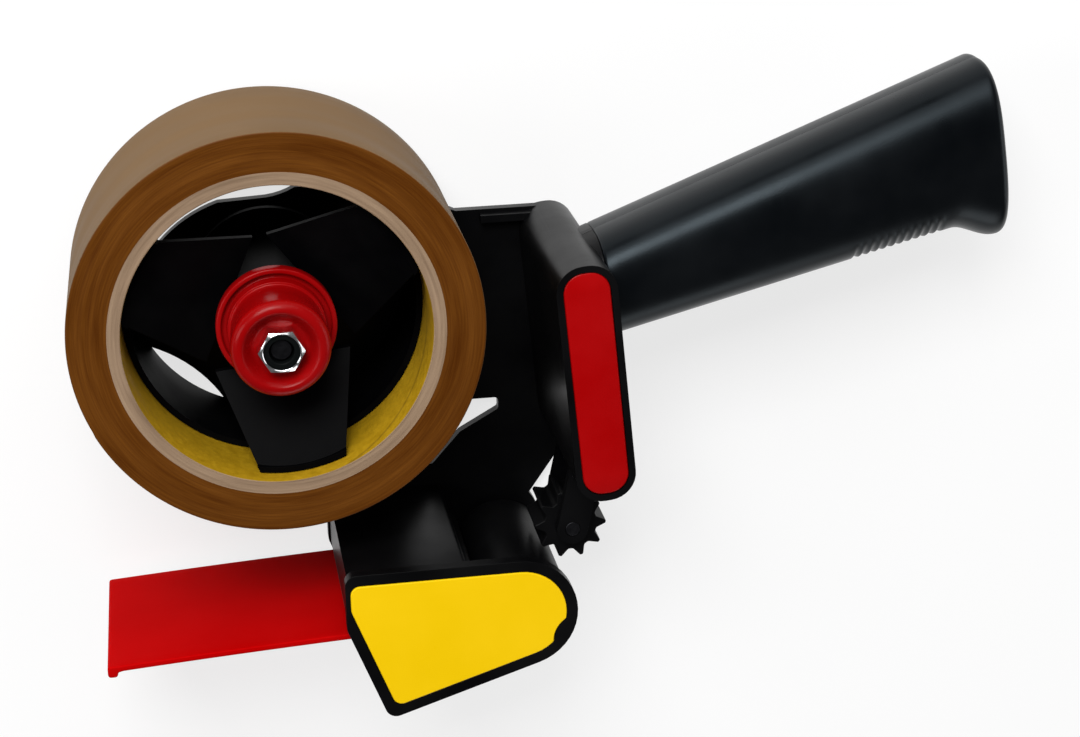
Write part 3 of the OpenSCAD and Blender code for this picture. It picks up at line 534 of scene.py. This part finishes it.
bolt = {
    "radius": 3.0, "pitch": 1.0, "threadDepth": 0.42, "threadLength": 16.0, "threadFade": 1.5,
    "perPitch": 8, "tipChamfer": 0.5, "tipRadii": (2.45, 1.6, 0.0), "acrossFlats": 10.0, "headH": 4.0,
    "headInner": 0.6, "chamferFrom": 0.96, "chamferSlope": 0.577, "edgeIn": 0.04, "edgeDown": 0.1,
    "segments": 48,
}


def buildBolt():
    # shank: the radius follows a sharp wave that climbs one pitch in each turn; the tip is chamfered
    top = nodeBox("axle_bolt")[1][2]
    b = bolt
    n = b["segments"]
    a = fullTurn(n)
    threadRings = int(b["threadLength"] * b["perPitch"])
    zThread = np.linspace(top - b["threadLength"], top - b["tipChamfer"], threadRings)
    phase = (zThread[:, None] / b["pitch"] - a / (2 * np.pi)) % 1
    fade = smoothStep((zThread - zThread[0]) / b["threadFade"])[:, None]
    r = b["radius"] - b["threadDepth"] * np.abs(2 * phase - 1) * fade
    flat = b["acrossFlats"] / 2
    hexR = hexRadius(a, b["acrossFlats"])
    cut = np.maximum(hexR - flat * b["chamferFrom"], 0) * b["chamferSlope"]
    rows = [
        (0, 0), (flat * b["headInner"], 0), (flat * b["chamferFrom"], 0), (hexR - b["edgeIn"], cut),
        (hexR, cut + b["edgeDown"]), (hexR, b["headH"]), (b["radius"], b["headH"]),
        *zip(r, zThread), *((tip, top) for tip in b["tipRadii"]),
    ]
    grid = np.stack([aroundAxis(radius, z, a) for radius, z in rows])
    faces = gridFaces(len(rows), n, False)
    meshPiece("axle_bolt_threaded", "axle_bolt", grid, faces, [darkSteel], 30)


buildKnob()
buildNut()
buildBolt()
print("brake built")

handle = {
    "rootX": 84.086, "rootY": 1.217, "slopeDeg": 17.6, "sectionDeg": 95.0, "rakeDeg": 3.4,
    "length": 109.0, "rootHeight": 27.4, "buttHeight": 42.05, "thickness": 32.0, "fullness": 0.72,
    "lipDrop": 5.5, "lipLength": 15.0, "buttRound": 2.4, "rootRound": 0.3, "rootFade": 0.25,
    "grooveCount": 11, "groovePitch": 2.3, "grooveDepth": 0.6, "grooveLast": 90.5, "groovePower": 0.8,
    "grooveFromDeg": 28, "grooveFadeDeg": 26,
    "seamGroove": 0.06, "seamWidth": 0.22, "seamGap": 0.04, "screwsAt": (14.0, 34.0, 91.0),
}


def buildHandle(side, name, node):
    # u runs along the handle and a round its half section, a flattened round whose height grows towards
    # the butt and whose lower side drops to a lip; a cosine wave cuts the grooves into the underside, and
    # a narrow bell curve the seam between the halves
    h = handle
    zMid = nodeBox("handle_near_half")[0][2]
    length, lipL, rnd = h["length"], h["lipLength"], h["buttRound"]
    grooveEnd = h["grooveLast"] + h["groovePitch"] / 2
    grooveStart = grooveEnd - h["grooveCount"] * h["groovePitch"]
    u = np.concatenate([
        [0, 0.25], np.linspace(0.8, grooveStart - 1, 26),
        np.linspace(grooveStart, grooveEnd, h["grooveCount"] * 10 + 1),
        np.linspace(grooveEnd + 0.5, length - rnd, 26)[:-1],
        length - rnd + rnd * np.sin(np.radians(np.linspace(0, 90, 10))),
    ])
    a = np.radians(np.linspace(-90, 90, 73))
    along, around = np.meshgrid(u, a, indexing="ij")
    inset = rnd - np.sqrt(np.maximum(rnd**2 - np.maximum(along - length + rnd, 0) ** 2, 0))
    inset = inset + h["rootRound"] * np.exp(-((along / h["rootFade"]) ** 2))
    half = (h["rootHeight"] + (h["buttHeight"] - h["rootHeight"]) * along / length) / 2 - inset
    lip = h["lipDrop"] * smoothStep((along - length + lipL) / (lipL - rnd))
    wide = h["thickness"] / 2 - inset
    s, c = np.sin(around), np.cos(around)
    v = np.where(around < 0, half + lip, half) * np.sign(s) * np.abs(s) ** h["fullness"]
    z = wide * np.abs(c) ** h["fullness"]
    wave = 0.5 - 0.5 * np.cos(2 * np.pi * (along - grooveStart) / h["groovePitch"])
    inGrooves = (along > grooveStart) & (along < grooveEnd)
    under = smoothStep((-around - math.radians(h["grooveFromDeg"])) / math.radians(h["grooveFadeDeg"]))
    v = v + h["grooveDepth"] * inGrooves * wave ** h["groovePower"] * under
    v = v - np.sign(v) * h["seamGroove"] * np.exp(-((z / h["seamWidth"]) ** 2))
    back = np.linspace(1, -1, 9)[1:-1]  # points across the flat face between the halves
    vBack = v[:, -1:] + (v[:, :1] - v[:, -1:]) * (1 - back) / 2
    v = np.concatenate([v, vBack], 1)
    z = np.concatenate([np.maximum(z, h["seamGap"]), np.full(vBack.shape, h["seamGap"])], 1)
    turn = np.radians(h["sectionDeg"] + h["rakeDeg"] * u / length)[:, None]
    slope = math.radians(h["slopeDeg"])
    x = h["rootX"] + u[:, None] * math.cos(slope) + v * np.cos(turn)
    y = h["rootY"] + u[:, None] * math.sin(slope) + v * np.sin(turn)
    rows = np.stack([x, y, zMid + side * z], -1)
    nu, nv = rows.shape[:2]
    points = np.concatenate([rows.reshape(-1, 3), rows[0].mean(0)[None], rows[-1].mean(0)[None]])
    k = np.arange(nv)
    nextK, lastRing = (k + 1) % nv, (nu - 1) * nv
    faces = gridFaces(nu, nv, False)
    faces += np.stack([np.full(nv, nu * nv), nextK, k], 1).tolist()
    faces += np.stack([np.full(nv, nu * nv + 1), lastRing + k, lastRing + nextK], 1).tolist()
    meshPiece(name, node, points, faces, [gripPlastic], 42)


buildHandle(1, "grip_near", "handle_near_half")
buildHandle(-1, "grip_far", "handle_far_half")
print("handle built")

flap = {
    "beadX": 17.4, "beadY": -81.8, "length": 64.8, "droop": 3.4, "bow": 0.25, "thick": 1.6,
    "beadR": 1.8, "startAt": 0.03, "lipDrop": 1.4, "lipWide": 1.2, "lipFillet": 0.55, "filletAt": 2.9,
    "filletClear": 0.5, "edgeRound": 0.45, "steps": 60, "rows": 20,
}


def buildFlap():
    # a sheet that droops with the distance, plus a little with its square, as one outline carried along Z
    # with rounded side edges
    lo, hi = nodeBox("wiper_flap")
    z0, z1 = lo[2], hi[2]
    f = flap
    t = np.linspace(f["startAt"], 1, f["steps"])
    sag = f["droop"] * t * (1 - f["bow"] + f["bow"] * t)
    line = np.stack([f["beadX"] - f["length"] * t, f["beadY"] - sag], 1)
    h, fillet = f["thick"] / 2, f["lipFillet"]
    over = line + [0, h]
    under = (line - [0, h])[::-1]
    tip = line[-1]
    edge = np.concatenate([
        arc(tip[0], tip[1], h, 90, 180, 5)[1:],
        arc(tip[0], tip[1] - f["lipDrop"], h, 180, 270, 5),
        arc(tip[0] + h * f["lipWide"], tip[1] - f["lipDrop"], h, 270, 350, 4),
        arc(tip[0] + h * f["filletAt"], tip[1] - h - fillet, fillet, 180, 90, 4),
    ])
    under = under[under[:, 0] > edge[-1, 0] + f["filletClear"]]
    start = math.degrees(math.asin(h / f["beadR"]))
    bead = arc(f["beadX"], f["beadY"], f["beadR"], -180 + start, 180 - start, 25)
    outline = np.concatenate([over[1:], edge, under[:-1], bead])
    after, before = np.roll(outline, -1, 0), np.roll(outline, 1, 0)
    along = after - before
    normal = np.stack([along[:, 1], -along[:, 0]], 1) / np.linalg.norm(along, axis=1)[:, None]
    area = np.sum(outline[:, 0] * after[:, 1] - after[:, 0] * outline[:, 1])
    normal = normal * np.sign(area)
    e = f["edgeRound"]
    q = np.radians(np.linspace(0, 90, 5))
    middle = np.linspace(z0 + e, z1 - e, f["rows"])[1:-1]
    zs = np.concatenate([z0 + e - e * np.cos(q), middle, z1 - e + e * np.cos(q[::-1])])
    ins = np.concatenate([e - e * np.sin(q), np.zeros(len(middle)), e - e * np.sin(q[::-1])])
    xy = outline[None] - ins[:, None, None] * normal[None]
    rows = np.concatenate([xy, np.broadcast_to(zs[:, None, None], (*xy.shape[:2], 1))], -1)
    nu, nv = rows.shape[:2]
    faces = gridFaces(nu, nv, False) + endCaps(nu, nv)
    meshPiece("flap_sheet", "wiper_flap", rows, faces, [flapPlastic], 45)


buildFlap()
print("flap built")

bar = {
    "x": 77.8, "y": -17.0, "tiltDeg": 5.0, "halfWidth": 5.95, "halfLength": 29.7, "corner": 5.2,
    "crown": 0.5, "edgeRound": 0.45, "edgeRings": 6, "crownRings": 14, "lastRing": 0.97,
    "cornerPoints": 13, "leastCorner": 0.02,
}


def buildBar():
    # rings of one rounded oblong, each nearer the middle, whose height rises with a square law to the crown
    lo, hi = nodeBox("rear_wall_inset")
    z0, z1 = lo[2], hi[2]
    w, e, m = bar["halfWidth"], bar["edgeRound"], bar["edgeRings"]
    q = np.radians(np.linspace(0, 90, m))
    inwards = np.linspace(e, w * bar["lastRing"], bar["crownRings"])[1:]
    d = np.concatenate([[0.0], e - e * np.cos(q), inwards])
    fall = bar["crown"] * (1 - d / w) ** 2
    fall[1 : m + 1] += e - e * np.sin(q)
    fall[0] = z1 - z0
    n = bar["cornerPoints"]
    turn = np.radians(np.concatenate([np.linspace(k, k + 90, n) for k in (0, 90, 180, 270)]))
    sx, sy = np.repeat([1, -1, -1, 1], n), np.repeat([1, 1, -1, -1], n)
    c = np.maximum(bar["corner"] - d, bar["leastCorner"])[:, None]
    x = sx * (w - d[:, None] - c) + c * np.cos(turn)
    y = sy * (bar["halfLength"] - d[:, None] - c) + c * np.sin(turn)
    tilt = math.radians(bar["tiltDeg"])
    px = bar["x"] + x * math.cos(tilt) - y * math.sin(tilt)
    py = bar["y"] + x * math.sin(tilt) + y * math.cos(tilt)
    rows = np.stack([px, py, np.broadcast_to(z1 - fall[:, None], px.shape)], -1)
    nu, nv = rows.shape[:2]
    faces = gridFaces(nu, nv, False) + endCaps(nu, nv)
    meshPiece("red_bar", "rear_wall_inset", rows, faces, [redPlastic], 40)


buildBar()

screw = {
    "headR": 3.6, "headH": 2.4, "headEdge": 0.35, "headSide": 0.8, "dome": 0.35, "shankR": 1.7,
    "pointR": 0.6, "crossW": 0.85, "crossR": 2.3, "crossDepth": 1.3, "crossSlope": 0.12, "crossEnd": 0.25,
    "segments": 96, "rings": 26,
}


def buildHandleScrews():
    # domed heads with a cross recess: the height drops inside a cross of two bars
    lo, hi = nodeBox("handle_screws")
    z0, z1 = lo[2], hi[2]
    h, s, n = handle, screw, screw["segments"]
    slope = math.radians(h["slopeDeg"])
    rng = np.random.default_rng(3)
    a = fullTurn(n)
    out, around = np.meshgrid(np.linspace(0, s["headR"] - s["headEdge"], s["rings"]), a, indexing="ij")
    edge = np.array([
        [s["headR"], z0 + s["headSide"]], [s["headR"], z0 + s["headH"]], [s["shankR"], z0 + s["headH"]],
        [s["shankR"], z1 - s["pointR"]], [s["pointR"], z1], [0, z1],
    ])
    radii = np.concatenate([out, np.broadcast_to(edge[:, :1], (len(edge), n))])
    points, faces = [], []
    for index, turn in enumerate(rng.uniform(0, 90, 3)):
        uScrew = h["screwsAt"][index]
        cx, cy = h["rootX"] + uScrew * math.cos(slope), h["rootY"] + uScrew * math.sin(slope)
        b = around + math.radians(turn)
        near = np.minimum(np.abs(out * np.cos(b)), np.abs(out * np.sin(b)))
        cross = smoothStep((s["crossW"] / 2 - near) / s["crossSlope"] + 0.5)
        cross = cross * smoothStep((s["crossR"] - out) / s["crossEnd"])
        z = z0 + s["dome"] * (out / s["headR"]) ** 2 + s["crossDepth"] * cross
        z = np.concatenate([z, np.broadcast_to(edge[:, 1:], (len(edge), n))])
        points.append(aroundAxis(radii, z, a) + [cx, cy, 0])
        faces += gridFaces(len(radii), n, False, index * radii.size)
    meshPiece("grip_screws", "handle_screws", np.concatenate(points), faces, [screwSteel], 35)


buildHandleScrews()

for node, width, material, segments in (
    ("side_frame", 0.45, blackPlastic, 2),
    ("near_cheek", 0.7, blackPlastic, 3),
    ("cheek_inset", 0.35, yellowPlastic, 3),
    ("hub", 0.35, hubPlastic, 2),
    ("star_wheel", 0.3, rollerPlastic, 2),
    ("application_roller", 0.4, rollerPlastic, 2),
    ("roller_axle", 0.3, plainSteel, 2),
    ("star_wheel_pin", 0.3, darkSteel, 2),
    ("blade_clamp", 0.25, plainSteel, 2),
    ("blade_screws", 0.25, screwSteel, 2),
    ("cheek_screws", 0.25, screwSteel, 2),
):
    softened(node, width, material, segments)
for node, material in (
    ("cutter_blade", bladeSteel), ("friction_washer", fibre), ("pressure_washer", plainSteel),
    ("thrust_washer", plainSteel),
):
    mesh = frame["nodes"][node].data
    mesh.materials.clear()
    mesh.materials.append(material)


def buildSpring():
    # the coil is left on no body and stays where the CAD node stands
    mesh = mergedCopy("brake_spring", "spring_coil", False)
    piece = placePiece("spring_coil", "brake_spring", mesh, [plainSteel], 35, rides=False)
    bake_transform(piece)


buildSpring()
print("moulded pieces dressed")

studio = {
    "floorSize": 6.0, "floorDrop": 0.0003, "floorColor": (0.9, 0.9, 0.9, 1), "floorGlow": 0.7,
    "floorShine": 1.04, "worldLight": 0.12, "aim": (0.05, 0, 0.03),
}


def buildFloor():
    # camera, mirror and transmitted rays see mostly a white glow, so the ground stays white; the rest is
    # matt and keeps the shadow
    half = studio["floorSize"] / 2
    mesh = bpy.data.meshes.new("floor")
    corners = [(-half, -half, 0), (half, -half, 0), (half, half, 0), (-half, half, 0)]
    mesh.from_pydata(corners, [], [(0, 1, 2, 3)])
    floor = bpy.data.objects.new("floor", mesh)
    floor.location.z = -studio["floorDrop"]
    bpy.context.scene.collection.objects.link(floor)
    material = bpy.data.materials.new("pale_floor")
    material.use_nodes = True
    tree = material.node_tree
    tree.nodes.clear()
    out, mix, diffuse, glow, path, seen, through, share = (
        tree.nodes.new("ShaderNode" + kind)
        for kind in (
            "OutputMaterial", "MixShader", "BsdfDiffuse", "Emission", "LightPath", "Math", "Math", "Math",
        )
    )
    seen.operation = through.operation = "MAXIMUM"
    share.operation = "MULTIPLY"
    share.inputs[1].default_value = studio["floorGlow"]
    diffuse.inputs["Color"].default_value = studio["floorColor"]
    glow.inputs["Color"].default_value = (1, 1, 1, 1)
    glow.inputs["Strength"].default_value = studio["floorShine"]
    for source, target in (
        (path.outputs["Is Camera Ray"], seen.inputs[0]),
        (path.outputs["Is Glossy Ray"], seen.inputs[1]),
        (seen.outputs[0], through.inputs[0]),
        (path.outputs["Is Transmission Ray"], through.inputs[1]),
        (through.outputs[0], share.inputs[0]),
        (share.outputs[0], mix.inputs[0]),
        (diffuse.outputs[0], mix.inputs[1]),
        (glow.outputs[0], mix.inputs[2]),
        (mix.outputs[0], out.inputs[0]),
    ):
        tree.links.new(source, target)
    mesh.materials.append(material)


def buildWorld():
    world = bpy.data.worlds.new("studio")
    world.use_nodes = True
    back = world.node_tree.nodes["Background"]
    back.inputs["Color"].default_value = (1, 1, 1, 1)
    back.inputs["Strength"].default_value = studio["worldLight"]
    bpy.context.scene.world = world


def softbox(name, place, size, watts):
    lamp = bpy.data.lights.new(name, "AREA")
    lamp.shape = "RECTANGLE"
    lamp.size, lamp.size_y = size
    lamp.energy = watts
    light = bpy.data.objects.new(name, lamp)
    light.location = place
    light.rotation_mode = "QUATERNION"
    light.rotation_quaternion = (Vector(studio["aim"]) - Vector(place)).to_track_quat("-Z", "Y")
    bpy.context.scene.collection.objects.link(light)


view = {
    "place": (-0.02167, 0.17941, 0.57715), "azimuthDeg": -9.36, "elevationDeg": 20.01, "rollDeg": -1.1,
    "lens": 75.0, "sensor": 36, "clip": (0.01, 20),
}


def buildCamera():
    # right, up and forward of a level camera, lifted by the elevation and then rolled; level means
    # along the axle
    az, el, roll = (math.radians(view[k]) for k in ("azimuthDeg", "elevationDeg", "rollDeg"))
    right = np.array([math.cos(az), 0, -math.sin(az)])
    ahead = np.array([-math.sin(az), 0, -math.cos(az)])
    upward = np.array([0, 1, 0])
    forward = ahead * math.cos(el) - upward * math.sin(el)
    up = upward * math.cos(el) + ahead * math.sin(el)
    tilted = up * math.cos(roll) - right * math.sin(roll)
    right, up = right * math.cos(roll) + up * math.sin(roll), tilted
    lens = bpy.data.cameras.new("camera")
    lens.lens = view["lens"]
    lens.sensor_width = view["sensor"]
    lens.clip_start, lens.clip_end = view["clip"]
    camera = bpy.data.objects.new("camera", lens)
    place = Matrix(np.column_stack([right, up, -forward]).tolist()).to_4x4()
    place.translation = view["place"]
    camera.matrix_world = place
    bpy.context.scene.collection.objects.link(camera)
    bpy.context.scene.camera = camera


buildFloor()
buildWorld()
for name, place, size, watts in (
    ("overhead", (0.0, 0.85, 0.55), (1.1, 0.6), 4),
    ("key", (-0.25, 0.75, 0.95), (0.6, 0.5), 12),
    ("side", (-0.95, 0.15, 0.7), (0.4, 0.6), 3),
    ("front", (0.25, -0.95, 0.35), (0.7, 0.4), 2),
    ("right", (1.05, -0.1, 0.35), (0.7, 0.4), 1.8),
):
    softbox(name, place, size, watts)
buildCamera()
bpy.context.scene.view_settings.view_transform = "Standard"
print("studio ready")
